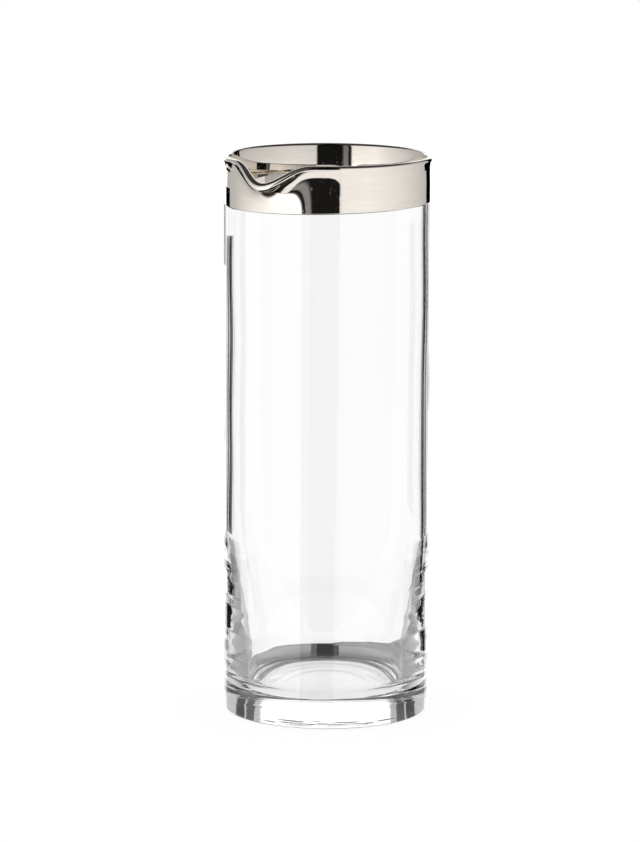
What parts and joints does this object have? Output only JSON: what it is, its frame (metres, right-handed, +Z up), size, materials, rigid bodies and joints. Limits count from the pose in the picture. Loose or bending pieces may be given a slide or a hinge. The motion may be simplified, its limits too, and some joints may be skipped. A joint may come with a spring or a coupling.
{
  "type": "carafe",
  "caption": "Tall clear crystal cylinder with a heavy base and a pulled pouring spout, its lip coated in bright platinum inside and out.",
  "frame": {"origin": "on the body's axis, in the flat face that the carafe stands on", "axes": "+Z up along the body's axis; the spout points to -Y; +X to the right when the spout faces the viewer"},
  "size_m": [0.0984, 0.1039, 0.2614],
  "materials": {
    "crystal": "clear, fire-polished",
    "platinum": "bright fired platinum, mirror-like"
  },
  "bodies": {
    "root": {"glass_body": "crystal", "platinum_band": "platinum"}
  },
  "joints": []
}
